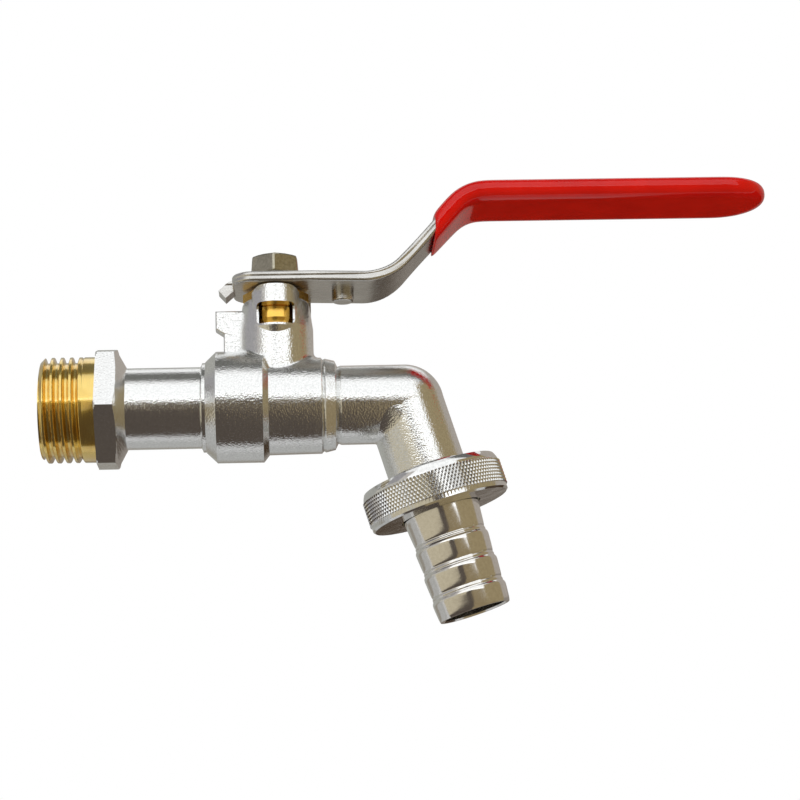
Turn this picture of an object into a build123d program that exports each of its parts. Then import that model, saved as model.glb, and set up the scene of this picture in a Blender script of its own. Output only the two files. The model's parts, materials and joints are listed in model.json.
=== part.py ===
# Garden ball valve tap with a hose union at its angled outlet.
# The origin is the centre of the hexagon's face on the thread side, where the tap seats on its pipe
# fitting. +X runs along the pipe away from the thread and +Z is up.
# Lengths are millimetres and angles are degrees. The valve is drawn open.

import os
from math import cos, radians, sin, sqrt, tan

from build123d import *

# Clearances
running_gap = 0.05
thread_gap = 0.08
face_gap = 0.04
side_gap = 0.3
lever_gap = 0.25
head_gap = 0.47
stop_gap = 0.12

# Inlet connector: male pipe thread, forged hexagon, tube and spigot
thread_radius = 10.4775
thread_length = 8.6
thread_lead = 0.9
shank_length = 2.4
hex_across = 21.8
hex_crown = 1.0
hex_turn = 8.0
hex_flat_length = 3.7
hex_lead = 0.45
hex_limit_gap = 0.1
hex_shoulder_length = 0.4
hex_shoulder_rise = 2.9
hex_cone_length = 1.6
tube_radius = 8.1
tube_length = 14.6
rim_radius = 8.9
rim_length = 1.0
rim_slope = 0.35
spigot_radius = 8.4
spigot_length = 6.8
inlet_bore = 5.5

# Ball and its seats
ball_radius = 7.5
ball_bore = 4.5
slot_width = 3.2
slot_depth = 2.2
seat_bore = 5.1
seat_reach = 3.6
seat_back = 7.2
chamber_gap = 0.4

# Forged body along the pipe axis
stem_offset = 14.1
mouth_radius = 9.1
collar_radius = 11.1
collar_chamfer = 2.1
collar_length = 11.3
collar_step = 1.1
barrel_radius = 9.7
barrel_taper = 0.12
barrel_length = 10.4
groove_width = 0.8
groove_depth = 0.45
ring_width = 1.9
ring_drop = 0.45
spout_groove_width = 1.2
spout_radius = 7.9
spout_reach = 25.3
spout_bore = 5.0

# Elbow, outlet leg and threaded outlet boss
outlet_tilt = 16.7
elbow_fill = 1.2
elbow_inset = 0.15
leg_radius = 7.85
boss_start = 15.1
boss_radius = 13.22
boss_length = 3.8
boss_lead = 0.5
boss_root = 1.2

# Neck, gland and stem
neck_radius = 7.4
neck_height = 21.4
neck_round = 1.2
neck_top_radius = 6.6
neck_taper_height = 6.0
neck_root = 1.2
stem_radius = 3.5
shoulder_radius = 4.8
shoulder_gap = 0.8
shoulder_height = 1.9
thrust_thickness = 1.0
web_thickness = 1.6
packing_bore = 5.2
packing_thickness = 1.25
gland_nose_radius = 4.0
gland_nose_length = 2.0
gland_waist_radius = 4.6
gland_thread_length = 1.6
gland_head_across = 11.4
gland_head_height = 1.65
tang_gap = 0.1
stem_flat_across = 5.0
stud_radius = 2.95

# Front lug with its window, side ear and rear stop
lug_radius = 5.2
lug_front = 7.9
lug_back = 6.8
lug_sill = 0.4
lug_corner = 2.8
lug_foot_height = 2.6
lug_foot_taper = 20.0
window_width = 7.6
window_drop = 6.1
window_height = 4.4
window_corner = 0.8
ear_reach = 12.1
ear_top = 19.5
ear_tip_height = 3.8
ear_foot_reach = 10.5
ear_slope_height = 1.1
ear_thickness = 2.8
ear_edge = 0.4
rear_stop_width = 2.6
rear_stop_reach = 10.6
rear_stop_foot = 15.0

# Lever strip
lever_thickness = 2.1
lever_edge = 0.5
lever_width = 17.4
lever_tail = 8.6
lever_tail_corner = 4.2
lever_flat_reach = 7.0
lever_hub_reach = 19.0
lever_droop = 0.4
lever_foot_reach = 22.2
lever_rise = 17.67
lever_incline_run = 16.6
lever_bend_radius = 10.5
lever_crest_radius = 8.8
lever_waist = 13.4
lever_waist_reach = 28.0
lever_grip_width = 16.8
lever_grip_reach = 41.0
lever_reach = 99.9
tail_tab_width = 4.5
tail_tab_length = 2.8
tail_tab_angle = 42.0
tail_tab_bend = 1.7
side_tab_width = 2.0
side_tab_drop = 2.6
pip_reach = 13.5
pip_radius = 2.2
pip_drop = 2.3
pip_round = 0.5

# Dipped grip sleeve
sleeve_wall = 1.05
sleeve_start = 31.6
sleeve_round = 1.5

# Lever nut and spring washer
washer_radius = 4.6
washer_thickness = 1.1
washer_split = 0.9
nut_across = 9.4
nut_height = 4.0
nut_chamfer = 0.55
nut_turn = -3.0

# Union nut, washer and hose tail along the outlet axis
union_radius = 14.3
union_height = 7.7
union_inset = 0.1
union_land = 0.3
union_top_band = 1.5
union_top_bevel = 0.8
union_lower_band = 1.2
union_lower_bevel = 0.35
union_lip = 1.3
union_hole = 8.15
union_washer_thickness = 1.4
flange_thickness = 1.15
flange_radius = 11.9
union_washer_bore = 6.4
tail_bore = 6.2
tail_mouth_flare = 0.3
tail_shank_radius = 7.7
barb_radius = 7.5
barb_root_radius = 7.1
barb_count = 3
barb_pitch = 5.25
barb_shoulder = 0.5
barb_taper = 0.8
barb_round = 0.6
last_barb_length = 4.3
tail_reach = 43.8

# Stations along the pipe
hex_start = 0.0
thread_start = hex_start - shank_length - thread_length
hex_shoulder = hex_start + hex_flat_length
hex_end = hex_shoulder + hex_shoulder_length + hex_cone_length
rim_start = hex_end + tube_length
seam_x = rim_start + rim_length
stem_x = seam_x + stem_offset
elbow_x = stem_x + spout_reach
spigot_end = seam_x + spigot_length
chamber_radius = ball_radius + chamber_gap
seat_radius = chamber_radius - running_gap
seat_start = stem_x - seat_back
seat_end = stem_x + seat_back

# Heights along the stem
shoulder_foot = ball_radius + shoulder_gap
thrust_foot = shoulder_foot + shoulder_height + face_gap
web_foot = thrust_foot + thrust_thickness
packing_foot = web_foot + web_thickness
gland_foot = packing_foot + 2 * packing_thickness
gland_waist_foot = gland_foot + gland_nose_length
gland_thread_foot = neck_height - gland_thread_length
gland_top = neck_height + face_gap + gland_head_height
lever_bottom = gland_top + head_gap
lever_top = lever_bottom + lever_thickness
lever_middle = lever_bottom + lever_thickness / 2
lug_top = lever_bottom - lever_gap
window_bottom = neck_height - window_drop
lug_base = window_bottom - lug_sill
nut_bottom = lever_top + washer_thickness
nut_top = nut_bottom + nut_height

# Distances along the outlet from the elbow
union_top = boss_start + union_inset
union_bottom = union_top + union_height
union_floor = union_bottom - union_lip
flange_top = union_floor - face_gap - flange_thickness
washer_top = flange_top - union_washer_thickness
union_bore = boss_radius + thread_gap
first_barb = tail_reach - last_barb_length - (barb_count - 1) * barb_pitch

# Axes and sketch planes: (distance, radius) about the pipe, (radius, height) about the stem and
# (radius, distance) about the outlet
elbow_point = (elbow_x, 0, 0)
outlet_direction = (sin(radians(outlet_tilt)), 0, -cos(radians(outlet_tilt)))
outlet_radial = (cos(radians(outlet_tilt)), 0, sin(radians(outlet_tilt)))
outlet_axis = Axis(elbow_point, outlet_direction)
outlet_plane = Plane(origin=elbow_point, x_dir=outlet_radial, z_dir=(0, 1, 0))
stem_axis = Axis((stem_x, 0, 0), (0, 0, 1))
stem_plane = Plane(origin=(stem_x, 0, 0), x_dir=(1, 0, 0), z_dir=(0, -1, 0))
stem_floor = Plane(origin=(stem_x, 0, 0))

os.makedirs("parts", exist_ok=True)


def outline(*points):
    # A closed straight-sided face in the sketch that is open
    with BuildLine() as border:
        Polyline(*points, close=True)
    make_face(border.edges())


def hex_points(across, crown):
    # Hexagon with corners front and back, its top and bottom flats raised to a crown in the middle
    corner = across / 2 / cos(radians(30))
    half = corner / 2
    top = across / 2
    return [
        (-corner, 0), (-half, top), (0, top + crown), (half, top),
        (corner, 0), (half, -top), (0, -top - crown), (-half, -top),
    ]


# Forged hexagon of the connector, turned down to a shoulder and a cone on the tube side
hex_limit = hex_across / 2 / cos(radians(30)) + hex_limit_gap
hex_shoulder_radius = tube_radius + hex_shoulder_rise
with BuildPart() as hex_collar:
    with BuildSketch(Plane.YZ.offset(hex_start)):
        Polygon(*hex_points(hex_across, hex_crown), rotation=hex_turn, align=None)
    extrude(amount=hex_end - hex_start)
    with BuildSketch(Plane.XZ):
        outline(
            (hex_start, 0), (hex_start, hex_limit - hex_lead), (hex_start + hex_lead, hex_limit),
            (hex_shoulder, hex_limit), (hex_shoulder + hex_shoulder_length, hex_shoulder_radius),
            (hex_end, tube_radius), (hex_end, 0),
        )
    revolve(axis=Axis.X, mode=Mode.INTERSECT)

with BuildPart() as inlet_connector:
    with BuildSketch(Plane.XZ):
        outline(
            (thread_start, 0), (thread_start, thread_radius - thread_lead),
            (thread_start + thread_lead, thread_radius), (hex_start + hex_lead, thread_radius),
            (hex_start + hex_lead, tube_radius), (rim_start, tube_radius),
            (rim_start + rim_slope, rim_radius), (seam_x - face_gap, rim_radius),
            (seam_x - face_gap, spigot_radius), (spigot_end, spigot_radius), (spigot_end, 0),
        )
    revolve(axis=Axis.X)
    add(hex_collar.part)
    with BuildSketch(Plane.YZ.offset(thread_start)):
        Circle(inlet_bore)
    extrude(amount=spigot_end - thread_start, mode=Mode.SUBTRACT)
inlet_connector.part.label = "inlet_connector"
export_step(inlet_connector.part, "parts/inlet_connector.step")

# Outside of the forged body, from the collar's mouth to the elbow
collar_end = seam_x + collar_length
barrel_start = collar_end + collar_step
barrel_end = barrel_start + barrel_length
barrel_end_radius = barrel_radius - barrel_taper
ring_start = barrel_end + groove_width
ring_end = ring_start + ring_width
ring_start_radius = barrel_end_radius - groove_depth / 2
ring_end_radius = ring_start_radius - ring_drop
spout_start = ring_end + spout_groove_width
elbow_turn = 90 - outlet_tilt
elbow_bend = leg_radius + elbow_fill
elbow_tangent = elbow_bend * tan(radians(elbow_turn / 2))
bend_x = elbow_x - elbow_tangent

# Front lug: a round-fronted pillar with rounded shoulders, just below the lever, hollowed behind for the
# gland's head and tapered into the neck below its sill
lug_root_top = neck_height - neck_round / 2
with BuildPart() as front_lug:
    with BuildSketch(stem_floor.offset(lug_base)) as lug_disc:
        with Locations((0, lug_radius - lug_front)):
            Circle(lug_radius)
    extrude(amount=lug_top - lug_base)
    with BuildSketch(Plane.XZ.offset(lug_front)) as lug_shape:
        with Locations((stem_x, (lug_base + lug_top) / 2)):
            Rectangle(2 * lug_radius, lug_top - lug_base)
        fillet(lug_shape.vertices().group_by(Axis.Z)[-1], radius=lug_corner)
    extrude(amount=-2 * lug_radius, mode=Mode.INTERSECT)
    with BuildSketch(stem_floor.offset(lug_root_top)):
        Circle(lug_back)
    extrude(amount=lug_top - lug_root_top, mode=Mode.SUBTRACT)
    extrude(lug_disc.sketch, amount=-lug_foot_height, taper=lug_foot_taper)

# Flat ear beside the neck, on the collar
with BuildPart() as side_ear:
    with BuildSketch(stem_plane):
        outline(
            (-neck_radius / 2, ear_top), (-ear_reach, ear_top), (-ear_reach, ear_top - ear_tip_height),
            (-ear_foot_reach, ear_top - ear_tip_height - ear_slope_height),
            (-ear_foot_reach, barrel_radius), (-neck_radius / 2, barrel_radius),
        )
    extrude(amount=ear_thickness / 2, both=True)
    ear_faces = side_ear.faces().sort_by(Axis.Y)
    fillet(ear_faces[0].edges() + ear_faces[-1].edges(), radius=ear_edge)

with BuildPart() as valve_body:
    # Neck around the stem
    with BuildSketch(stem_plane):
        outline(
            (0, 0), (neck_radius, 0), (neck_radius, neck_height - neck_taper_height),
            (neck_top_radius, neck_height), (0, neck_height),
        )
    revolve(axis=stem_axis)
    fillet(valve_body.edges().group_by(Axis.Z)[-1], radius=neck_round)
    # Collar, ball chamber, turned rings and spout about the pipe axis
    with BuildSketch(Plane.XZ):
        outline(
            (seam_x, 0), (seam_x, mouth_radius), (seam_x + collar_chamfer, collar_radius),
            (collar_end, collar_radius), (barrel_start, barrel_radius),
            (barrel_end, barrel_end_radius),
            ((barrel_end + ring_start) / 2, barrel_end_radius - groove_depth),
            (ring_start, ring_start_radius), (ring_end, ring_end_radius),
            ((ring_end + spout_start) / 2, spout_radius - groove_depth / 2),
            (spout_start, spout_radius), (elbow_x, spout_radius), (elbow_x, 0),
        )
    revolve(axis=Axis.X)
    # Soft root where the neck rises from the barrel
    fillet(valve_body.edges().filter_by(GeomType.BSPLINE), radius=neck_root)
    # Elbow: a round outer corner and a filled inner corner
    with Locations(elbow_point):
        Sphere(spout_radius)
    with BuildSketch(Plane.YZ.offset(bend_x)):
        Circle(leg_radius - elbow_inset)
    revolve(axis=Axis((bend_x, 0, -elbow_bend), (0, 1, 0)), revolution_arc=elbow_turn)
    # Outlet leg and the boss that carries the union nut
    with BuildSketch(outlet_plane):
        outline(
            (0, 0), (leg_radius, 0), (leg_radius, boss_start - boss_root),
            (leg_radius + boss_root, boss_start), (boss_radius - boss_lead, boss_start),
            (boss_radius, boss_start + boss_lead), (boss_radius, boss_start + boss_length - boss_lead),
            (boss_radius - boss_lead, boss_start + boss_length), (0, boss_start + boss_length),
        )
    revolve(axis=outlet_axis)
    add(front_lug.part)
    add(side_ear.part)
    # Stop at the back of the neck, met by the lever's tabs when open and when closed
    rear_stop_start = tail_tab_width / 2 + stop_gap
    for stop_back, stop_top in ((packing_bore, neck_height - neck_round), (lug_back, lug_top - lever_gap)):
        with BuildSketch(stem_floor.offset(rear_stop_foot)):
            with Locations((rear_stop_start + rear_stop_width / 2, (rear_stop_reach + stop_back) / 2)):
                Rectangle(rear_stop_width, rear_stop_reach - stop_back)
        extrude(amount=stop_top - rear_stop_foot)
    # Spigot bore, ball chamber and water bore
    with BuildSketch(Plane.XZ):
        outline(
            (seam_x, 0), (seam_x, spigot_radius + running_gap), (seat_start, spigot_radius + running_gap),
            (seat_start, chamber_radius), (seat_end + face_gap, chamber_radius),
            (seat_end + face_gap, spout_bore), (elbow_x, spout_bore), (elbow_x, 0),
        )
    revolve(axis=Axis.X, mode=Mode.SUBTRACT)
    with Locations(elbow_point):
        Sphere(spout_bore, mode=Mode.SUBTRACT)
    with BuildSketch(outlet_plane):
        outline(
            (0, 0), (spout_bore, 0), (spout_bore, boss_start + boss_length),
            (0, boss_start + boss_length),
        )
    revolve(axis=outlet_axis, mode=Mode.SUBTRACT)
    # Stepped bore for the stem, its packing and the gland
    with BuildSketch(stem_plane):
        outline(
            (0, 0), (shoulder_radius + side_gap, 0), (shoulder_radius + side_gap, web_foot),
            (stem_radius + 2 * running_gap, web_foot), (stem_radius + 2 * running_gap, packing_foot),
            (packing_bore, packing_foot), (packing_bore, neck_height), (0, neck_height),
        )
    revolve(axis=stem_axis, mode=Mode.SUBTRACT)
    # Window through the front lug, where the gland shows
    with BuildSketch(Plane.XZ.offset(lug_front)):
        with Locations((stem_x, window_bottom + window_height / 2)):
            RectangleRounded(window_width, window_height, window_corner)
    extrude(amount=-lug_front / 2, mode=Mode.SUBTRACT)
valve_body.part.label = "valve_body"
export_step(valve_body.part, "parts/valve_body.step")

with BuildPart() as ball:
    with Locations((stem_x, 0, 0)):
        Sphere(ball_radius)
    with BuildSketch(Plane.YZ.offset(stem_x - ball_radius)):
        Circle(ball_bore)
    extrude(amount=2 * ball_radius, mode=Mode.SUBTRACT)
    with BuildSketch(stem_floor.offset(ball_radius)):
        Rectangle(slot_width, 2 * ball_radius)
    extrude(amount=-slot_depth, mode=Mode.SUBTRACT)
ball.part.label = "ball"
export_step(ball.part, "parts/ball.step")

# Seat rings, hollowed to the ball
hollow_radius = ball_radius + running_gap
hollow_depth = sqrt(hollow_radius**2 - seat_bore**2)
hollow_mouth = sqrt(hollow_radius**2 - seat_reach**2)
hollow_middle = hollow_radius * cos(radians(45))
for seat_name, side in (("inlet_seat", -1), ("outlet_seat", 1)):
    with BuildPart() as seat:
        with BuildSketch(Plane.XZ):
            with BuildLine():
                Polyline(
                    (stem_x + side * hollow_depth, seat_bore), (stem_x + side * seat_back, seat_bore),
                    (stem_x + side * seat_back, seat_radius), (stem_x + side * seat_reach, seat_radius),
                    (stem_x + side * seat_reach, hollow_mouth),
                )
                ThreePointArc(
                    (stem_x + side * seat_reach, hollow_mouth),
                    (stem_x + side * hollow_middle, hollow_middle),
                    (stem_x + side * hollow_depth, seat_bore),
                )
            make_face()
        revolve(axis=Axis.X)
    seat.part.label = seat_name
    export_step(seat.part, f"parts/{seat_name}.step")

# Stem: tang in the ball, keeping shoulder, packed shaft, lever flats and stud
tang_foot = ball_radius - slot_depth + tang_gap
tang_half_width = slot_width / 2 - tang_gap
tang_half_length = sqrt((seat_reach - side_gap) ** 2 - tang_half_width**2)
stud_top = nut_top - nut_chamfer
with BuildPart() as stem:
    with BuildSketch(stem_plane):
        outline(
            (0, shoulder_foot), (shoulder_radius, shoulder_foot),
            (shoulder_radius, shoulder_foot + shoulder_height),
            (stem_radius, shoulder_foot + shoulder_height), (stem_radius, lever_top),
            (stud_radius, lever_top), (stud_radius, stud_top), (0, stud_top),
        )
    revolve(axis=stem_axis)
    with BuildSketch(stem_floor.offset(tang_foot)):
        Rectangle(2 * tang_half_width, 2 * tang_half_length)
    extrude(amount=shoulder_foot - tang_foot)
    with BuildSketch(stem_floor.offset(lever_bottom)):
        Circle(2 * stem_radius)
        Rectangle(4 * stem_radius, stem_flat_across, mode=Mode.SUBTRACT)
    extrude(amount=stud_top - lever_bottom, mode=Mode.SUBTRACT)
stem.part.label = "stem"
export_step(stem.part, "parts/stem.step")

# Flat rings around the stem
ring_bore = stem_radius + running_gap
stem_rings = (
    ("thrust_washer", thrust_foot, thrust_thickness, shoulder_radius + side_gap - running_gap),
    ("packing_ring_lower", packing_foot, packing_thickness, packing_bore - running_gap),
    ("packing_ring_upper", packing_foot + packing_thickness, packing_thickness, packing_bore - running_gap),
)
for ring_name, ring_foot, ring_thickness, ring_radius in stem_rings:
    with BuildPart() as stem_ring:
        with BuildSketch(stem_floor.offset(ring_foot)):
            Circle(ring_radius)
            Circle(ring_bore, mode=Mode.SUBTRACT)
        extrude(amount=ring_thickness)
    stem_ring.part.label = ring_name
    export_step(stem_ring.part, f"parts/{ring_name}.step")

with BuildPart() as gland_nut:
    with BuildSketch(stem_floor.offset(neck_height + face_gap)):
        RegularPolygon(gland_head_across / 2, 6, major_radius=False)
    extrude(amount=gland_head_height)
    with BuildSketch(stem_plane):
        outline(
            (0, gland_foot), (gland_nose_radius, gland_foot), (gland_waist_radius, gland_waist_foot),
            (gland_waist_radius, gland_thread_foot), (packing_bore - thread_gap, gland_thread_foot),
            (packing_bore - thread_gap, gland_top - face_gap), (0, gland_top - face_gap),
        )
    revolve(axis=stem_axis)
    with BuildSketch(stem_floor.offset(gland_foot)):
        Circle(stem_radius + 2 * running_gap)
    extrude(amount=gland_top - gland_foot, mode=Mode.SUBTRACT)
gland_nut.part.label = "gland_nut"
export_step(gland_nut.part, "parts/gland_nut.step")

# Lever: a strip bent twice, cut to its plan, with a tail tab and a side tab for the stops
lever_foot = (lever_foot_reach, lever_middle - lever_droop)
lever_crest = (lever_foot_reach + lever_incline_run, lever_middle + lever_rise)
lever_tip = (lever_reach, lever_middle + lever_rise)
hub_half = lever_width / 2
grip_half = lever_grip_width / 2


def lever_plan(margin):
    # Half of the plan from tail to tip, mirrored about the pipe's plane, grown by a margin
    tip_centre = lever_reach - grip_half
    tail = -lever_tail - margin
    hub = hub_half + margin
    with BuildLine() as half:
        Line((tail, 0), (tail, hub - lever_tail_corner))
        RadiusArc((tail, hub - lever_tail_corner), (tail + lever_tail_corner, hub), lever_tail_corner)
        Line((tail + lever_tail_corner, hub), (lever_hub_reach, hub))
        Spline(
            (lever_hub_reach, hub), (lever_waist_reach, lever_waist / 2 + margin),
            (lever_grip_reach, grip_half + margin), tangents=((1, 0), (1, 0)),
        )
        Line((lever_grip_reach, grip_half + margin), (tip_centre, grip_half + margin))
        RadiusArc((tip_centre, grip_half + margin), (lever_reach + margin, 0), grip_half + margin)
        Line((lever_reach + margin, 0), (tail, 0))
    make_face(half.edges())
    mirror(about=Plane.XZ)


with BuildPart() as lever:
    with BuildSketch(stem_plane):
        with BuildLine():
            FilletPolyline(
                (-lever_tail, lever_middle), (lever_flat_reach, lever_middle), lever_foot, lever_crest,
                lever_tip, radius=(lever_bend_radius, lever_bend_radius, lever_crest_radius),
            )
        trace(line_width=lever_thickness)
    extrude(amount=lever_width, both=True)
    with BuildSketch(stem_floor):
        lever_plan(0)
    extrude(amount=2 * lever_crest[1], mode=Mode.INTERSECT)
    # Rolled edges all round the strip
    bend_edges = lever.edges().filter_by(Axis.Y) + lever.edges().filter_by(Axis.Z)
    tail_edges = lever.edges().group_by(Axis.X)[0].filter_by(Axis.Y)
    fillet(lever.edges() - bend_edges + tail_edges, radius=lever_edge)
    # Pip pressed out of the underside
    with BuildSketch(stem_floor.offset(lever_middle)):
        with Locations((pip_reach, 0)):
            Circle(pip_radius)
    extrude(amount=-pip_drop - lever_thickness / 2)
    fillet(lever.edges().group_by(Axis.Z)[0], radius=pip_round)
    # Tail tab, bent down over the ear
    with BuildSketch(stem_plane):
        with BuildLine():
            FilletPolyline(
                (-lever_tail + 2 * tail_tab_bend, lever_middle), (-lever_tail, lever_middle),
                (
                    -lever_tail - tail_tab_length * cos(radians(tail_tab_angle)),
                    lever_middle - tail_tab_length * sin(radians(tail_tab_angle)),
                ),
                radius=tail_tab_bend,
            )
        trace(line_width=lever_thickness)
    extrude(amount=tail_tab_width / 2, both=True)
    # Side tab, which meets the rear stop when the valve is open
    side_tab_start = rear_stop_start + rear_stop_width + stop_gap
    with BuildSketch(stem_floor.offset(lever_middle)):
        with Locations((side_tab_start + side_tab_width / 2, hub_half - lever_thickness / 2)):
            Rectangle(side_tab_width, lever_thickness)
    extrude(amount=-side_tab_drop - lever_thickness / 2)
    # Hole with two flats for the stem
    with BuildSketch(stem_floor.offset(lever_bottom)):
        Circle(stem_radius + running_gap)
        Rectangle(4 * stem_radius, stem_flat_across + 2 * running_gap, mode=Mode.INTERSECT)
    extrude(amount=lever_thickness, mode=Mode.SUBTRACT)
lever.part.label = "lever"
export_step(lever.part, "parts/lever.step")

# Grip sleeve, dipped over the incline and the grip and trimmed upright at its start
sleeve_tip = (lever_reach + sleeve_wall, lever_crest[1])
with BuildPart() as grip_sleeve:
    with BuildSketch(stem_plane):
        with BuildLine():
            FilletPolyline(lever_foot, lever_crest, sleeve_tip, radius=lever_crest_radius)
        trace(line_width=lever_thickness + 2 * sleeve_wall)
    extrude(amount=lever_width, both=True)
    with BuildSketch(stem_floor):
        lever_plan(sleeve_wall)
        with Locations((sleeve_start - lever_reach / 2, 0)):
            Rectangle(lever_reach, 2 * lever_width, mode=Mode.SUBTRACT)
    extrude(amount=2 * lever_crest[1], mode=Mode.INTERSECT)
    # Soft edges all round, except at the trimmed start
    cross_edges = grip_sleeve.edges().filter_by(Axis.Y) + grip_sleeve.edges().filter_by(Axis.Z)
    start_edges = grip_sleeve.edges().group_by(Axis.X)[0]
    fillet(grip_sleeve.edges() - cross_edges - start_edges, radius=sleeve_round)
    add(lever.part, mode=Mode.SUBTRACT)
grip_sleeve.part.label = "grip_sleeve"
export_step(grip_sleeve.part, "parts/grip_sleeve.step")

with BuildPart() as lock_washer:
    with BuildSketch(stem_floor.offset(lever_top)):
        Circle(washer_radius)
        Circle(stud_radius + side_gap, mode=Mode.SUBTRACT)
        with Locations((0, washer_radius)):
            Rectangle(washer_split, 2 * washer_radius, mode=Mode.SUBTRACT)
    extrude(amount=washer_thickness)
lock_washer.part.label = "lock_washer"
export_step(lock_washer.part, "parts/lock_washer.step")

nut_corner = nut_across / 2 / cos(radians(30))
with BuildPart() as lever_nut:
    with BuildSketch(stem_floor.offset(nut_bottom)):
        RegularPolygon(nut_across / 2, 6, major_radius=False, rotation=30 + nut_turn)
    extrude(amount=nut_height)
    with BuildSketch(stem_plane):
        outline(
            (0, nut_bottom), (nut_corner, nut_bottom), (nut_corner, nut_top - nut_chamfer),
            (nut_across / 2 - nut_chamfer, nut_top), (0, nut_top),
        )
    revolve(axis=stem_axis, mode=Mode.INTERSECT)
    with BuildSketch(stem_floor.offset(nut_bottom)):
        Circle(stud_radius + running_gap)
    extrude(amount=nut_height, mode=Mode.SUBTRACT)
lever_nut.part.label = "lever_nut"
export_step(lever_nut.part, "parts/lever_nut.step")

union_land_radius = union_radius - union_land
with BuildPart() as union_nut:
    with BuildSketch(outlet_plane):
        outline(
            (union_bore, union_top), (union_radius - union_top_bevel, union_top),
            (union_land_radius, union_top + union_top_band),
            (union_radius, union_top + union_top_band), (union_radius, union_bottom - union_lower_band),
            (union_land_radius, union_bottom - union_lower_band),
            (union_land_radius, union_bottom - union_lower_bevel),
            (union_land_radius - union_lower_bevel, union_bottom), (union_hole, union_bottom),
            (union_hole, union_floor), (union_bore, union_floor),
        )
    revolve(axis=outlet_axis)
union_nut.part.label = "union_nut"
export_step(union_nut.part, "parts/union_nut.step")

with BuildPart() as union_washer:
    with BuildSketch(outlet_plane):
        outline(
            (union_washer_bore, washer_top), (flange_radius, washer_top),
            (flange_radius, flange_top), (union_washer_bore, flange_top),
        )
    revolve(axis=outlet_axis)
union_washer.part.label = "union_washer"
export_step(union_washer.part, "parts/union_washer.step")

# Hose tail: flange, shank and rounded barbs with a narrow groove above each
tail_shank_start = flange_top + flange_thickness
barb_points = [(tail_shank_radius, tail_shank_start), (tail_shank_radius, first_barb - barb_taper)]
for barb in range(barb_count):
    barb_start = first_barb + barb * barb_pitch
    barb_end = tail_reach if barb == barb_count - 1 else barb_start + barb_pitch
    barb_points.append((barb_root_radius, barb_start))
    barb_points.append((barb_radius, barb_start + barb_shoulder))
    barb_points.append((barb_radius, barb_end - barb_taper))
barb_points.append((barb_root_radius, tail_reach))
with BuildPart() as hose_tail:
    with BuildSketch(outlet_plane):
        with BuildLine():
            FilletPolyline(*barb_points, radius=barb_round)
            Polyline(
                (barb_root_radius, tail_reach), (tail_bore + tail_mouth_flare, tail_reach),
                (tail_bore, tail_reach - tail_mouth_flare), (tail_bore, flange_top),
                (flange_radius, flange_top), (flange_radius, tail_shank_start),
                (tail_shank_radius, tail_shank_start),
            )
        make_face()
    revolve(axis=outlet_axis)
hose_tail.part.label = "hose_tail"
export_step(hose_tail.part, "parts/hose_tail.step")
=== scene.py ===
# Looks of a garden ball valve tap with a hose union, dressed over its solid frame.
# Lengths are metres in the frame's axes: +X along the pipe away from the thread, +Z up.

import json
from math import cos, pi, radians, sin, tan

import bmesh
import bpy
from mathutils import Matrix, Vector


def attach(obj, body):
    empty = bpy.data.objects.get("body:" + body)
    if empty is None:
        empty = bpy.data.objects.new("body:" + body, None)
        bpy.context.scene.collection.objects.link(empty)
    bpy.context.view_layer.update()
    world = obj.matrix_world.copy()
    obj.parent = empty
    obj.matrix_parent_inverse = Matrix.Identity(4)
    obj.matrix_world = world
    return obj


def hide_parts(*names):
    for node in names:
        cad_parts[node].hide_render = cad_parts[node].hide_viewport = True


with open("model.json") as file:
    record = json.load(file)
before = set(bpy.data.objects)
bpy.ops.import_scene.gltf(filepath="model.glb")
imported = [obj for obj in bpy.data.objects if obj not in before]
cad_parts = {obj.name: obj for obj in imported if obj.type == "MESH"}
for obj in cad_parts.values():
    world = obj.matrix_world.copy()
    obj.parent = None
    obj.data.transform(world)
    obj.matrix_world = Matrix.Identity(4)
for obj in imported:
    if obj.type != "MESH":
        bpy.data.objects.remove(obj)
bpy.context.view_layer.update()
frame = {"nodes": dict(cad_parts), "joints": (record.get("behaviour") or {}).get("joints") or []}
MM = 0.001

# Camera: a little below the pipe, turned slightly towards the thread
image_size = 800
view_azimuth = radians(3.0)
view_elevation = radians(12.8)
view_roll = radians(1.75)
view_distance = 0.42
view_target = Vector((0.0598, 0.0, 0.0))
focal_pixels = 2104.0
target_row = 404.2
sensor_width = 36.0
nearest_seen = 0.01

# Studio: distances about the tap in metres, bearings and elevations of lights and cards in degrees
floor_height = -0.125
floor_half_size = 3.0
floor_card_lift = 0.002
floor_front_edge = 0.01
floor_split_left = -0.11
floor_split_right = 0.07
behind_edge = 0.05
behind_split = 0.30
behind_end = 2.5
behind_grip_near = 0.15
behind_grip_far = 0.12
softbox_low = 9.0
softbox_high = 56.0
softbox_spread = 43.0
softbox_distance = 1.2
softbox_radiance = 1.5
front_strip_height = 4.0
world_fill = 0.45
panel_distance = 0.8
panel_top = 0.128
wall_half_width = 0.8
wall_split = 0.11
card_distance = 1.0
card_steps = 8
card_low = -7.0
card_high = 45.0
card_above_height = 1.0
card_above_half_length = 1.5
card_above_half_width = 0.35

# Lever strip in side view: its flat part, its foot and its incline
lever_flat_z = 24.55 * MM
lever_foot = (57.6 * MM, 24.21 * MM)
lever_incline = radians(47.4)
lever_bend = 6.0 * MM
edge_crease_width = 0.4 * MM
edge_crease_depth = 0.09 * MM

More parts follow.
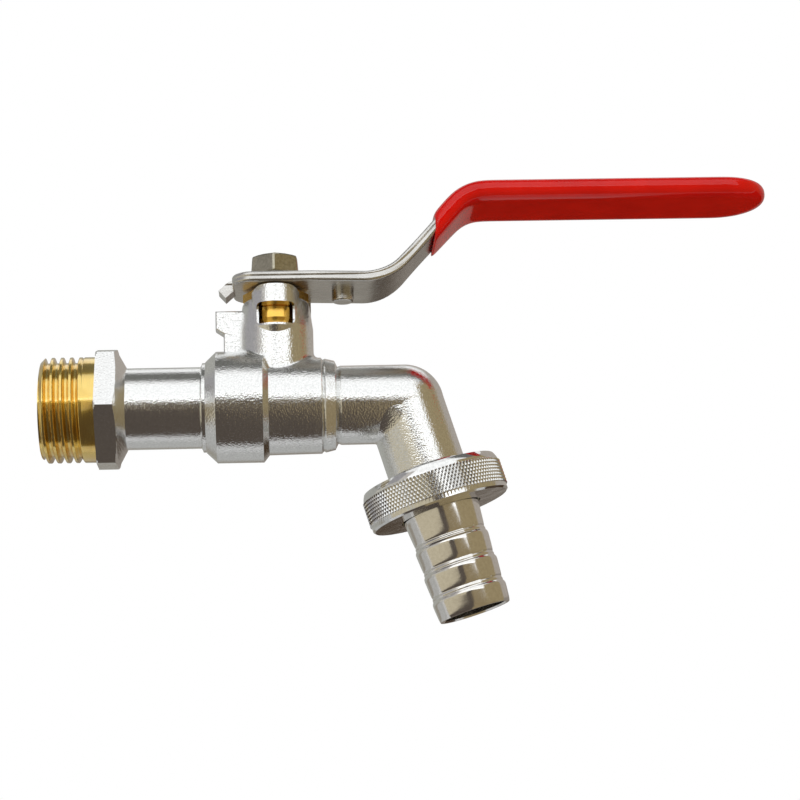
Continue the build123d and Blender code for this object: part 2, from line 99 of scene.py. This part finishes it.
# Inlet connector, as distances along the pipe and radii about it
pipe_thread_radius = 10.4775 * MM
pipe_thread_pitch = 1.814 * MM
pipe_thread_depth = 1.1 * MM
pipe_thread_start = -11.0 * MM
pipe_thread_end = -2.4 * MM
pipe_thread_runout = 1.3 * MM
pipe_thread_lead = 0.9 * MM
pipe_thread_crest = 0.22
pipe_thread_flank = 0.58
pipe_thread_steps = 240
pipe_bore = 5.5 * MM
pipe_mouth_chamfer = 0.5 * MM
hex_across = 21.8 * MM
hex_crown = 1.0 * MM
hex_turn = radians(8.0)
hex_half_side = radians(30)
hex_limit = 12.686 * MM
hex_lead = 0.45 * MM
hex_flat_end = 3.7 * MM
hex_shoulder = 4.1 * MM
hex_shoulder_radius = 11.0 * MM
hex_end = 5.7 * MM
tube_radius = 8.1 * MM
rim_start = 20.3 * MM
rim_slope = 0.35 * MM
rim_radius = 8.9 * MM
rim_face = 21.26 * MM
spigot_radius = 8.4 * MM
spigot_end = 28.1 * MM
connector_sides = 180
connector_smooth_angle = radians(14)

# Union nut, as distances along the outlet from the elbow
union_top = 15.2 * MM
union_bottom = 22.9 * MM
union_floor = 21.6 * MM
union_radius = 14.3 * MM
union_bore = 13.3 * MM
union_hole = 8.15 * MM
union_land_radius = 14.0 * MM
union_top_radius = 13.5 * MM
union_knurl_top = 16.7 * MM
union_knurl_bottom = 21.7 * MM
union_lower_bevel = 0.35 * MM
union_band_steps = 8
union_smooth_angle = radians(28)
knurl_count = 120
knurl_depth = 0.28 * MM
knurl_fade = 0.18 * MM
knurl_length = union_knurl_bottom - union_knurl_top - 2 * knurl_fade
knurl_crest = 0.1
knurl_flank = 0.75
knurl_steps = 8
knurl_rows = 28

# Hose tail, as distances along the outlet from the elbow
tail_flange_top = 20.41 * MM
tail_flange_bottom = 21.56 * MM
tail_flange_radius = 11.9 * MM
tail_shank_radius = 7.7 * MM
tail_bore = 6.2 * MM
tail_mouth_flare = 0.3 * MM
tail_reach = 43.8 * MM
first_barb = 29.0 * MM
barb_pitch = 5.25 * MM
barb_count = 3
barb_radius = 7.5 * MM
barb_heel_radius = 7.24 * MM
barb_root_radius = 7.08 * MM
barb_bead_radius = 7.26 * MM
tail_end_round = 0.45 * MM
tail_sides = 144
tail_smooth_angle = radians(35)
tail_soft_passes = 3

# One barb below its groove and bead, as radii and distances along the outlet from the barb's ring
barb_profile = (
    (barb_heel_radius, -1.0 * MM),
    (barb_root_radius, -0.75 * MM),
    (barb_bead_radius, -0.3 * MM),
    (barb_bead_radius - 0.08 * MM, 0.0),
    (barb_radius - 0.06 * MM, 0.4 * MM),
    (barb_radius, 0.8 * MM),
    (barb_radius - 0.04 * MM, 1.4 * MM),
)

# Dipped skin of the sleeve and worn corners of the lever's nut
sleeve_cell = 0.35 * MM
sleeve_rounding = 0.5
sleeve_rounding_passes = 150
nut_corner_width = 0.25 * MM
nut_corner_segments = 2
nut_corner_angle = radians(40)


def link(mesh_object):
    bpy.context.scene.collection.objects.link(mesh_object)
    return mesh_object


def grid_mesh(name, rings):
    # Closed surface from rings of points, joined ring to ring and round each ring
    mesh = bpy.data.meshes.new(name)
    rows = len(rings)
    columns = len(rings[0])
    points = [point for ring in rings for point in ring]
    faces = []
    for row in range(rows):
        after = (row + 1) % rows
        for column in range(columns):
            beside = (column + 1) % columns
            faces.append((
                row * columns + column, row * columns + beside,
                after * columns + beside, after * columns + column,
            ))
    mesh.from_pydata(points, [], faces)
    mesh.update()
    return mesh


def tidy_normals(mesh, smooth_angle):
    shape = bmesh.new()
    shape.from_mesh(mesh)
    bmesh.ops.recalc_face_normals(shape, faces=shape.faces)
    shape.to_mesh(mesh)
    shape.free()
    mesh.shade_smooth()
    mesh.set_sharp_from_angle(angle=smooth_angle)


# Node materials


def start_material(name, colour, metallic, roughness):
    material = bpy.data.materials.new(name)
    material.use_nodes = True
    tree = material.node_tree
    shader = tree.nodes["Principled BSDF"]
    shader.inputs["Base Color"].default_value = (*colour, 1.0)
    shader.inputs["Metallic"].default_value = metallic
    shader.inputs["Roughness"].default_value = roughness
    place = tree.nodes.new("ShaderNodeTexCoord")
    return material, tree, shader, place.outputs["Object"]


def stretched(tree, place, scale):
    mapping = tree.nodes.new("ShaderNodeMapping")
    mapping.inputs["Scale"].default_value = scale
    tree.links.new(place, mapping.inputs["Vector"])
    return mapping.outputs["Vector"]


def noise(tree, place, grain, detail=2.0, rough=0.5):
    # Noise with features of about the given size
    texture = tree.nodes.new("ShaderNodeTexNoise")
    texture.inputs["Scale"].default_value = 1.0 / grain
    texture.inputs["Detail"].default_value = detail
    texture.inputs["Roughness"].default_value = rough
    tree.links.new(place, texture.inputs["Vector"])
    return texture.outputs["Fac"]


def ramp(tree, value, low, high, start=0.3, end=0.7):
    span = tree.nodes.new("ShaderNodeMapRange")
    span.inputs["From Min"].default_value = start
    span.inputs["From Max"].default_value = end
    span.inputs["To Min"].default_value = low
    span.inputs["To Max"].default_value = high
    tree.links.new(value, span.inputs["Value"])
    return span.outputs["Result"]


def tint(tree, value, low, high):
    mix = tree.nodes.new("ShaderNodeMix")
    mix.data_type = "RGBA"
    mix.inputs["A"].default_value = (*low, 1.0)
    mix.inputs["B"].default_value = (*high, 1.0)
    tree.links.new(value, mix.inputs["Factor"])
    return mix.outputs["Result"]


def bump(tree, value, height, before=None):
    node = tree.nodes.new("ShaderNodeBump")
    node.inputs["Strength"].default_value = 1.0
    node.inputs["Distance"].default_value = height
    tree.links.new(value, node.inputs["Height"])
    if before is not None:
        tree.links.new(before, node.inputs["Normal"])
    return node.outputs["Normal"]


def plated_metal(name, low, high, roughness, grain, grain_height, wave_height):
    # Plating over a forged or turned surface: pitted grain, slow waves and a change of tone
    material, tree, shader, place = start_material(name, high, 1.0, roughness[0])
    slow = noise(tree, place, 7.0 * MM)
    fine = noise(tree, place, grain, detail=1.0)
    tree.links.new(tint(tree, ramp(tree, fine, 0.0, 1.0), low, high), shader.inputs["Base Color"])
    tree.links.new(ramp(tree, slow, *roughness), shader.inputs["Roughness"])
    waves = bump(tree, noise(tree, place, 3.0 * MM, detail=1.0), wave_height)
    tree.links.new(bump(tree, fine, grain_height, waves), shader.inputs["Normal"])
    return material


def turned_brass(name, low, high, coat):
    # Deep yellow metal under a clear lacquer, with fine lines from the lathe
    material, tree, shader, place = start_material(name, high, 1.0, 0.2)
    shader.inputs["Coat Weight"].default_value = coat
    shader.inputs["Coat Roughness"].default_value = 0.1
    shader.inputs["Coat IOR"].default_value = 2.0
    slow = noise(tree, place, 4.0 * MM)
    lines = noise(tree, stretched(tree, place, (1.0, 0.04, 0.04)), 0.12 * MM, detail=2.0)
    tree.links.new(tint(tree, ramp(tree, slow, 0.0, 1.0), low, high), shader.inputs["Base Color"])
    tree.links.new(ramp(tree, lines, 0.14, 0.26), shader.inputs["Roughness"])
    tree.links.new(bump(tree, lines, 2.0e-6), shader.inputs["Normal"])
    return material


def above_line(tree, place, tilt, offset):
    # Distance above a line in the lever's side view that rises by a tilt
    across = tree.nodes.new("ShaderNodeVectorMath")
    across.operation = "DOT_PRODUCT"
    across.inputs[1].default_value = (-sin(tilt), 0.0, cos(tilt))
    tree.links.new(place, across.inputs[0])
    height = tree.nodes.new("ShaderNodeMath")
    height.operation = "SUBTRACT"
    height.inputs[1].default_value = offset
    tree.links.new(across.outputs["Value"], height.inputs[0])
    return height.outputs["Value"]


def edge_crease(tree, place):
    # Fine crease along the middle of the lever's thickness, from 0 in the crease to 1 beside it
    foot_x, foot_z = lever_foot
    on_incline = foot_z * cos(lever_incline) - foot_x * sin(lever_incline)
    middle = tree.nodes.new("ShaderNodeMath")
    middle.operation = "SMOOTH_MIN"
    middle.inputs[2].default_value = lever_bend
    tree.links.new(above_line(tree, place, 0.0, lever_flat_z), middle.inputs[0])
    tree.links.new(above_line(tree, place, lever_incline, on_incline), middle.inputs[1])
    distance = tree.nodes.new("ShaderNodeMath")
    distance.operation = "ABSOLUTE"
    tree.links.new(middle.outputs["Value"], distance.inputs[0])
    return ramp(tree, distance.outputs["Value"], 0.0, 1.0, 0.0, edge_crease_width)


def rolled_steel(name, low, high, creased):
    # Zinc-plated steel with fine lines along its length; a sheared strip has a crease in its edge
    material, tree, shader, place = start_material(name, high, 1.0, 0.3)
    slow = noise(tree, place, 5.0 * MM, detail=3.0)
    lines = noise(tree, stretched(tree, place, (0.06, 1.0, 1.0)), 0.25 * MM, detail=3.0)
    tree.links.new(tint(tree, ramp(tree, slow, 0.0, 1.0), low, high), shader.inputs["Base Color"])
    tree.links.new(ramp(tree, lines, 0.22, 0.34), shader.inputs["Roughness"])
    waves = bump(tree, noise(tree, place, 2.5 * MM), 1.5e-5)
    normal = bump(tree, lines, 4.0e-6, waves)
    if creased:
        normal = bump(tree, edge_crease(tree, place), edge_crease_depth, normal)
    tree.links.new(normal, shader.inputs["Normal"])
    return material


def dipped_plastic(name, low, high):
    material, tree, shader, place = start_material(name, high, 0.0, 0.22)
    shader.inputs["Specular IOR Level"].default_value = 0.4
    slow = noise(tree, place, 8.0 * MM)
    tree.links.new(tint(tree, ramp(tree, slow, 0.0, 1.0), low, high), shader.inputs["Base Color"])
    tree.links.new(ramp(tree, noise(tree, place, 2.0 * MM), 0.06, 0.10), shader.inputs["Roughness"])
    ripple = bump(tree, noise(tree, place, 6.0 * MM, detail=1.0), 3.0e-5)
    tree.links.new(bump(tree, noise(tree, place, 0.6 * MM), 4.0e-6, ripple), shader.inputs["Normal"])
    return material


def soft_solid(name, low, high, roughness, grain):
    material, tree, shader, place = start_material(name, high, 0.0, roughness)
    slow = noise(tree, place, 3.0 * MM)
    tree.links.new(tint(tree, ramp(tree, slow, 0.0, 1.0), low, high), shader.inputs["Base Color"])
    tree.links.new(bump(tree, noise(tree, place, grain), 1.0e-5), shader.inputs["Normal"])
    return material


satin_nickel = plated_metal(
    "satin_nickel", (0.78, 0.785, 0.78), (0.90, 0.905, 0.90), (0.12, 0.18), 0.32 * MM, 5.0e-5, 1.2e-5)
tube_nickel = plated_metal(
    "tube_nickel", (0.80, 0.805, 0.80), (0.90, 0.905, 0.90), (0.12, 0.18), 0.32 * MM, 4.5e-5, 1.2e-5)
polished_nickel = plated_metal(
    "polished_nickel", (0.80, 0.785, 0.76), (0.87, 0.86, 0.84), (0.11, 0.16), 0.6 * MM, 3.0e-6, 1.5e-5)
nut_nickel = plated_metal(
    "nut_nickel", (0.76, 0.765, 0.76), (0.87, 0.875, 0.87), (0.08, 0.14), 0.6 * MM, 3.0e-6, 1.5e-5)
brass = turned_brass("raw_brass", (0.80, 0.51, 0.07), (0.91, 0.68, 0.16), 1.0)
gland_brass = turned_brass("gland_brass", (0.90, 0.49, 0.05), (0.96, 0.58, 0.09), 0.4)
lever_zinc = rolled_steel("lever_zinc", (0.60, 0.59, 0.57), (0.72, 0.71, 0.69), creased=True)
washer_steel = rolled_steel("washer_steel", (0.42, 0.41, 0.39), (0.55, 0.54, 0.52), creased=False)
yellow_zinc = plated_metal(
    "yellow_zinc", (0.44, 0.41, 0.32), (0.55, 0.52, 0.42), (0.20, 0.28), 0.5 * MM, 6.0e-6, 1.5e-5)
red_plastic = dipped_plastic("red_plastic", (0.56, 0.002, 0.0005), (0.66, 0.004, 0.001))
ptfe = soft_solid("ptfe_white", (0.78, 0.78, 0.76), (0.86, 0.86, 0.84), 0.45, 0.3 * MM)
rubber = soft_solid("black_rubber", (0.015, 0.015, 0.015), (0.03, 0.03, 0.03), 0.6, 0.2 * MM)
ball_chrome = plated_metal(
    "ball_chrome", (0.84, 0.84, 0.84), (0.88, 0.88, 0.88), (0.04, 0.07), 0.5 * MM, 5.0e-7, 5.0e-6)

node_materials = {
    "valve_body": satin_nickel,
    "gland_nut": gland_brass,
    "stem": brass,
    "ball": ball_chrome,
    "inlet_seat": ptfe,
    "outlet_seat": ptfe,
    "thrust_washer": ptfe,
    "packing_ring_lower": ptfe,
    "packing_ring_upper": ptfe,
    "lever": lever_zinc,
    "grip_sleeve": red_plastic,
    "lock_washer": washer_steel,
    "lever_nut": yellow_zinc,
    "union_washer": rubber,
}
for node, material in node_materials.items():
    slots = frame["nodes"][node].data.materials
    slots.clear()
    slots.append(material)


# Inlet connector with its cut thread


def spaced(start, end, steps):
    return [start + (end - start) * step / steps for step in range(steps + 1)]


def angles_round(sides):
    return [2 * pi * side / sides for side in range(sides)]


def groove_share(turns, crest, flank):
    # How far down a groove's flank a place lies, from 0 on a crest to 1 at the bottom
    from_crest = abs(turns - round(turns)) * 2
    return min(max((from_crest - crest) / flank, 0.0), 1.0)


def thread_radius_at(along, angle):
    # Rounded pipe thread that starts on a lead chamfer and runs out into the plain shank
    turns = (along - pipe_thread_start) / pipe_thread_pitch - angle / (2 * pi)
    share = groove_share(turns, pipe_thread_crest, pipe_thread_flank)
    groove = share * share * (3 - 2 * share)
    fade = min(max((pipe_thread_end - along) / pipe_thread_runout, 0.0), 1.0)
    lead = pipe_thread_radius - max(pipe_thread_lead - (along - pipe_thread_start), 0.0)
    return min(pipe_thread_radius - pipe_thread_depth * groove * fade, lead)


def hex_radius_at(angle):
    # Distance to the side of the crowned hexagon at an angle about the pipe
    flat = hex_across / 2
    corner_half = flat * tan(hex_half_side)
    across = abs(cos(angle - hex_turn))
    upward = abs(sin(angle - hex_turn))
    to_side = flat / (across * cos(hex_half_side) + upward * sin(hex_half_side))
    to_crown = (flat + hex_crown) / (upward + across * hex_crown / corner_half)
    return min(to_side, to_crown)


def hex_limit_at(along):
    # Turned envelope of the hexagon: a lead on the thread side, a shoulder and a cone on the other
    if along < hex_lead:
        return hex_limit - hex_lead + along
    if along < hex_flat_end:
        return hex_limit
    if along < hex_shoulder:
        share = (along - hex_flat_end) / (hex_shoulder - hex_flat_end)
        return hex_limit + (hex_shoulder_radius - hex_limit) * share
    share = (hex_end - along) / (hex_end - hex_shoulder)
    return tube_radius + (hex_shoulder_radius - tube_radius) * share


def threaded_connector():
    thread_stations = spaced(pipe_thread_start, pipe_thread_end, pipe_thread_steps)
    hex_stations = (
        spaced(0.0, hex_lead, 3)
        + spaced(hex_lead, hex_flat_end, 3)[1:]
        + spaced(hex_flat_end, hex_shoulder, 8)[1:]
        + spaced(hex_shoulder, hex_end, 16)[1:]
    )
    rim_and_bore = [
        (rim_start, tube_radius),
        (rim_start + rim_slope, rim_radius),
        (rim_face, rim_radius),
        (rim_face, spigot_radius),
        (spigot_end, spigot_radius),
        (spigot_end, pipe_bore),
        (pipe_thread_start + pipe_mouth_chamfer, pipe_bore),
        (pipe_thread_start, pipe_bore + pipe_mouth_chamfer),
    ]
    rings = []
    for angle in angles_round(connector_sides):
        profile = [(along, thread_radius_at(along, angle)) for along in thread_stations]
        profile.append((0.0, pipe_thread_radius))
        profile += [(along, min(hex_radius_at(angle), hex_limit_at(along))) for along in hex_stations]
        profile += rim_and_bore
        rings.append([
            Vector((along, radius * cos(angle), radius * sin(angle))) for along, radius in profile
        ])
    mesh = grid_mesh("threaded_connector", rings)
    tidy_normals(mesh, connector_smooth_angle)
    mesh.materials.append(tube_nickel)
    mesh.materials.append(brass)
    for face in mesh.polygons:
        face.material_index = 1 if face.center.x < 0.0 else 0
    return link(bpy.data.objects.new("threaded_connector", mesh))


connector = threaded_connector()
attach(connector, "body")
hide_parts("inlet_connector")

# The outlet's axis, which the union nut and the hose tail lie about
joints = {joint["name"]: joint for joint in frame["joints"]}
elbow = Vector(joints["nut_turn"]["pos_m"])
outlet = Vector(joints["nut_turn"]["axis"]).normalized()
outlet_side = Vector((0, 1, 0))
outlet_across = outlet_side.cross(outlet)


def outlet_ring(angle, profile):
    # A profile of radii and distances along the outlet, stood at an angle about it
    outward = outlet_across * cos(angle) + outlet_side * sin(angle)
    return [elbow + outward * radius + outlet * along for radius, along in profile]


# Union nut with a crossed knurl


def knurl(along, angle):
    # Depth of two crossing sets of grooves at a place, from 0 on a crest to 1 in a groove
    turns = angle * knurl_count / (2 * pi)
    row = (along - union_knurl_top - knurl_fade) / knurl_length * knurl_rows
    depth = 0.0
    for lean in (row / knurl_steps, -row / knurl_steps):
        depth = max(depth, groove_share(turns + lean, knurl_crest, knurl_flank))
    return depth


def union_radius_at(along, angle):
    # Smooth band that rounds in at the top, knurled band, and a lower band with a bevelled edge
    if along <= union_knurl_top:
        share = (along - union_top) / (union_knurl_top - union_top)
        return union_top_radius + (union_land_radius - union_top_radius) * sin(share * pi / 2)
    if along >= union_knurl_bottom:
        return union_land_radius - max(union_lower_bevel - (union_bottom - along), 0.0)
    from_end = min(along - union_knurl_top, union_knurl_bottom - along)
    crest = union_radius - knurl_depth * knurl(along, angle)
    return union_land_radius + (crest - union_land_radius) * min(from_end / knurl_fade, 1.0)


def knurled_nut():
    stations = (
        spaced(union_top, union_knurl_top, union_band_steps)
        + spaced(union_knurl_top + knurl_fade, union_knurl_bottom - knurl_fade, knurl_rows)
        + [union_knurl_bottom, union_bottom - union_lower_bevel, union_bottom]
    )
    inner = [
        (union_hole, union_bottom),
        (union_hole, union_floor),
        (union_bore, union_floor),
        (union_bore, union_top),
    ]
    rings = []
    for angle in angles_round(knurl_count * knurl_steps):
        outer = [(union_radius_at(along, angle), along) for along in stations]
        rings.append(outlet_ring(angle, outer + inner))
    mesh = grid_mesh("knurled_union_nut", rings)
    tidy_normals(mesh, union_smooth_angle)
    mesh.materials.append(nut_nickel)
    return link(bpy.data.objects.new("knurled_union_nut", mesh))


nut = knurled_nut()
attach(nut, "nut")
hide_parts("union_nut")


# Hose tail with rounded barbs


def softened(points, passes):
    # Corners of a profile cut off again and again until they are round, with its ends kept
    for _ in range(passes):
        cut_points = [points[0]]
        for (x0, y0), (x1, y1) in zip(points, points[1:]):
            cut_points.append((x0 + (x1 - x0) / 4, y0 + (y1 - y0) / 4))
            cut_points.append((x0 + (x1 - x0) * 3 / 4, y0 + (y1 - y0) * 3 / 4))
        points = cut_points + [points[-1]]
    return points


def barbed_tail():
    # Shank and barbs that widen towards the nut, with a fine bead in the groove above each barb
    barbs = [(tail_shank_radius, tail_flange_bottom), (tail_shank_radius, union_bottom)]
    for barb in range(barb_count):
        ring = first_barb + barb * barb_pitch
        barbs += [(radius, ring + offset) for radius, offset in barb_profile]
    barbs += [(barb_heel_radius, tail_reach - tail_end_round), (barb_root_radius, tail_reach)]
    bore_and_flange = [
        (tail_bore + tail_mouth_flare, tail_reach),
        (tail_bore, tail_reach - tail_mouth_flare),
        (tail_bore, tail_flange_top),
        (tail_flange_radius, tail_flange_top),
        (tail_flange_radius, tail_flange_bottom),
    ]
    profile = softened(barbs, tail_soft_passes) + bore_and_flange
    mesh = grid_mesh("barbed_tail", [outlet_ring(angle, profile) for angle in angles_round(tail_sides)])
    tidy_normals(mesh, tail_smooth_angle)
    mesh.materials.append(polished_nickel)
    return link(bpy.data.objects.new("barbed_tail", mesh))


tail = barbed_tail()
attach(tail, "tail")
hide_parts("hose_tail")

# Dipped plastic drawn round over the edges of the grip
sleeve_skin = frame["nodes"]["grip_sleeve"].modifiers.new("dipped_skin", "REMESH")
sleeve_skin.mode = "VOXEL"
sleeve_skin.voxel_size = sleeve_cell
sleeve_skin.use_smooth_shade = True
sleeve_round = frame["nodes"]["grip_sleeve"].modifiers.new("drawn_round", "SMOOTH")
sleeve_round.factor = sleeve_rounding
sleeve_round.iterations = sleeve_rounding_passes

# Worn corners on the lever's nut
frame["nodes"]["lever_nut"].modifiers.new("joined_faces", "WELD")
nut_edges = frame["nodes"]["lever_nut"].modifiers.new("worn_corners", "BEVEL")
nut_edges.width = nut_corner_width
nut_edges.segments = nut_corner_segments
nut_edges.angle_limit = nut_corner_angle


# Studio, with glowing cards that only paint reflections in the metal


def glow_material(name, colour):
    material = bpy.data.materials.new(name)
    material.use_nodes = True
    tree = material.node_tree
    tree.nodes.clear()
    light = tree.nodes.new("ShaderNodeEmission")
    light.inputs["Color"].default_value = (*colour, 1.0)
    light.inputs["Strength"].default_value = 1.0
    output = tree.nodes.new("ShaderNodeOutputMaterial")
    tree.links.new(light.outputs["Emission"], output.inputs["Surface"])
    return material


def panel(name, corners, colour):
    # A glowing tinted card that lights nothing and only shows in reflections: a painted reflection
    mesh = bpy.data.meshes.new(name)
    faces = [tuple(range(first, first + 4)) for first in range(0, len(corners), 4)]
    mesh.from_pydata(corners, [], faces)
    mesh.materials.append(glow_material(name, colour))
    card = link(bpy.data.objects.new(name, mesh))
    card.visible_camera = False
    card.visible_diffuse = False
    card.visible_transmission = False
    card.visible_shadow = False


def floor_card(name, left, right, near, far, colour):
    # A painted reflection lying just above the floor, which hides the pale floor from reflections
    height = floor_height + floor_card_lift
    corners = ((left, near), (right, near), (right, far), (left, far))
    panel(name, [(x, y, height) for x, y in corners], colour)


def wall_card(name, left, right, colour):
    # A low upright card in front of the tap, seen only in reflections: a painted reflection
    panel(name, [
        (left, -panel_distance, floor_height), (right, -panel_distance, floor_height),
        (right, -panel_distance, panel_top), (left, -panel_distance, panel_top),
    ], colour)


def side_card(name, first_bearing, last_bearing, low, high, colour):
    # A curved card about the tap, between two bearings from the front and two elevations in degrees, seen
    # only in reflections: a painted reflection
    posts = []
    for bearing in spaced(radians(first_bearing), radians(last_bearing), card_steps):
        outward = Vector((sin(bearing), -cos(bearing), 0)) * card_distance
        posts.append((
            outward + Vector((0, 0, card_distance * tan(radians(low)))),
            outward + Vector((0, 0, card_distance * tan(radians(high)))),
        ))
    corners = []
    for (low_start, high_start), (low_end, high_end) in zip(posts, posts[1:]):
        corners += [low_start, low_end, high_end, high_start]
    panel(name, corners, colour)


# Painted reflections of a room at the floor and in front: beige to the left, a dark sheet of painted shade
# in the middle, olive to the right, and greyer tints behind, darkest behind the grip as painted shade
beige = (0.55, 0.49, 0.36)
olive = (0.28, 0.22, 0.125)
shade = (0.088, 0.072, 0.060)
floor_card("floor_left", -floor_half_size, floor_split_left, floor_front_edge, -panel_distance, beige)
floor_card("floor_centre", floor_split_left, floor_split_right, floor_front_edge, -panel_distance, shade)
floor_card("floor_right", floor_split_right, floor_half_size, floor_front_edge, -panel_distance, olive)
floor_card(
    "floor_behind_near", -floor_half_size, behind_grip_near, behind_split, behind_edge, (0.45, 0.45, 0.44))
floor_card(
    "floor_behind", -floor_half_size, behind_grip_far, behind_end, behind_split, (0.30, 0.275, 0.235))
floor_card(
    "floor_behind_grip", behind_grip_near, floor_half_size, behind_split, behind_edge, (0.07, 0.05, 0.035))
floor_card(
    "floor_far_grip", behind_grip_far, floor_half_size, behind_end, behind_split, (0.05, 0.03, 0.015))
wall_card("wall_left", -wall_half_width, -wall_split, beige)
wall_card("wall_centre", -wall_split, wall_split, shade)
wall_card("wall_right", wall_split, wall_half_width, olive)
side_card("side_right", 43.0, 108.0, card_low, card_high, (0.33, 0.265, 0.15))
side_card("side_right_back", 108.0, 180.0, 9.0, card_high, (0.42, 0.38, 0.34))
side_card("side_right_back_low", 108.0, 180.0, card_low, 9.0, (0.28, 0.25, 0.22))
side_card("side_left_low", -112.0, -43.0, card_low, 8.0, (0.54, 0.52, 0.46))
side_card("side_left_near", -60.0, -43.0, 8.0, card_high, (0.56, 0.53, 0.50))
side_card("side_left_far", -112.0, -60.0, 8.0, card_high, (0.36, 0.35, 0.36))
side_card("side_left_back", -180.0, -112.0, card_low, card_high, (0.40, 0.40, 0.37))
# Glowing cards that paint the softbox's highlight in reflections, brightest in a low strip; the softbox
# lamp itself is kept out of reflections
strip_top = softbox_low + front_strip_height
front_top = softbox_high + front_strip_height
side_card("painted_highlight_low", -softbox_spread, softbox_spread, softbox_low, strip_top, (2.1, 2.13, 2.13))
side_card("painted_highlight", -softbox_spread, softbox_spread, strip_top, front_top, (1.14, 1.15, 1.15))
# Grey card overhead, seen only in reflections: a painted reflection that darkens the tops of the metal
panel("card_above", [
    (-card_above_half_length, card_above_half_width, card_above_height),
    (card_above_half_length, card_above_half_width, card_above_height),
    (card_above_half_length, -card_above_half_width, card_above_height),
    (-card_above_half_length, -card_above_half_width, card_above_height),
], (0.16, 0.16, 0.15))

floor_mesh = bpy.data.meshes.new("studio_floor")
floor_mesh.from_pydata([
    (-floor_half_size, -floor_half_size, floor_height),
    (floor_half_size, -floor_half_size, floor_height),
    (floor_half_size, floor_half_size, floor_height),
    (-floor_half_size, floor_half_size, floor_height),
], [], [(0, 1, 2, 3)])
floor_mesh.materials.append(soft_solid("studio_floor", (0.84, 0.84, 0.84), (0.86, 0.86, 0.86), 0.9, 1.0))
link(bpy.data.objects.new("studio_floor", floor_mesh))

# Softbox in front of the tap and above it
softbox_middle = radians((softbox_low + softbox_high) / 2)
softbox_depth = 2 * softbox_distance * tan(radians(softbox_high - softbox_low) / 2)
softbox_width = 2 * softbox_distance * tan(radians(softbox_spread))
softbox = bpy.data.lights.new("softbox", "AREA")
softbox.shape = "RECTANGLE"
softbox.size = softbox_width
softbox.size_y = softbox_depth
softbox.energy = softbox_radiance * pi * softbox_width * softbox_depth
softbox_object = link(bpy.data.objects.new("softbox", softbox))
softbox_object.visible_glossy = False
softbox_aim = Vector((0, cos(softbox_middle), -sin(softbox_middle)))
softbox_object.location = Vector((view_target.x, 0, 0)) - softbox_aim * softbox_distance
softbox_object.rotation_euler = softbox_aim.to_track_quat("-Z", "Y").to_euler()

# White surroundings for the eye and for reflections, and a dimmer level for the light itself
world = bpy.data.worlds.new("studio")
world.use_nodes = True
bpy.context.scene.world = world
sky = world.node_tree
background = sky.nodes["Background"]
background.inputs["Color"].default_value = (1.0, 1.0, 1.0, 1.0)
path = sky.nodes.new("ShaderNodeLightPath")
seen = sky.nodes.new("ShaderNodeMath")
seen.operation = "MAXIMUM"
sky.links.new(path.outputs["Is Camera Ray"], seen.inputs[0])
sky.links.new(path.outputs["Is Glossy Ray"], seen.inputs[1])
seen_through = sky.nodes.new("ShaderNodeMath")
seen_through.operation = "MAXIMUM"
sky.links.new(seen.outputs["Value"], seen_through.inputs[0])
sky.links.new(path.outputs["Is Transmission Ray"], seen_through.inputs[1])
level = sky.nodes.new("ShaderNodeMapRange")
level.inputs["To Min"].default_value = world_fill
level.inputs["To Max"].default_value = 1.0
sky.links.new(seen_through.outputs["Value"], level.inputs["Value"])
sky.links.new(level.outputs["Result"], background.inputs["Strength"])

# Camera
camera = bpy.data.cameras.new("camera")
camera.sensor_width = sensor_width
camera.lens = sensor_width * focal_pixels / image_size
camera.shift_y = (target_row - image_size / 2) / image_size
camera.clip_start = nearest_seen
camera_object = link(bpy.data.objects.new("camera", camera))
sight = Vector((
    sin(view_azimuth) * cos(view_elevation),
    cos(view_azimuth) * cos(view_elevation),
    sin(view_elevation),
))
level_right = Vector((cos(view_azimuth), -sin(view_azimuth), 0))
level_up = level_right.cross(sight)
right = level_right * cos(view_roll) - level_up * sin(view_roll)
up = level_right * sin(view_roll) + level_up * cos(view_roll)
turn = Matrix((right, up, -sight)).transposed()
camera_object.matrix_world = Matrix.Translation(view_target - sight * view_distance) @ turn.to_4x4()
bpy.context.scene.camera = camera_object
bpy.context.scene.view_settings.view_transform = "Standard"
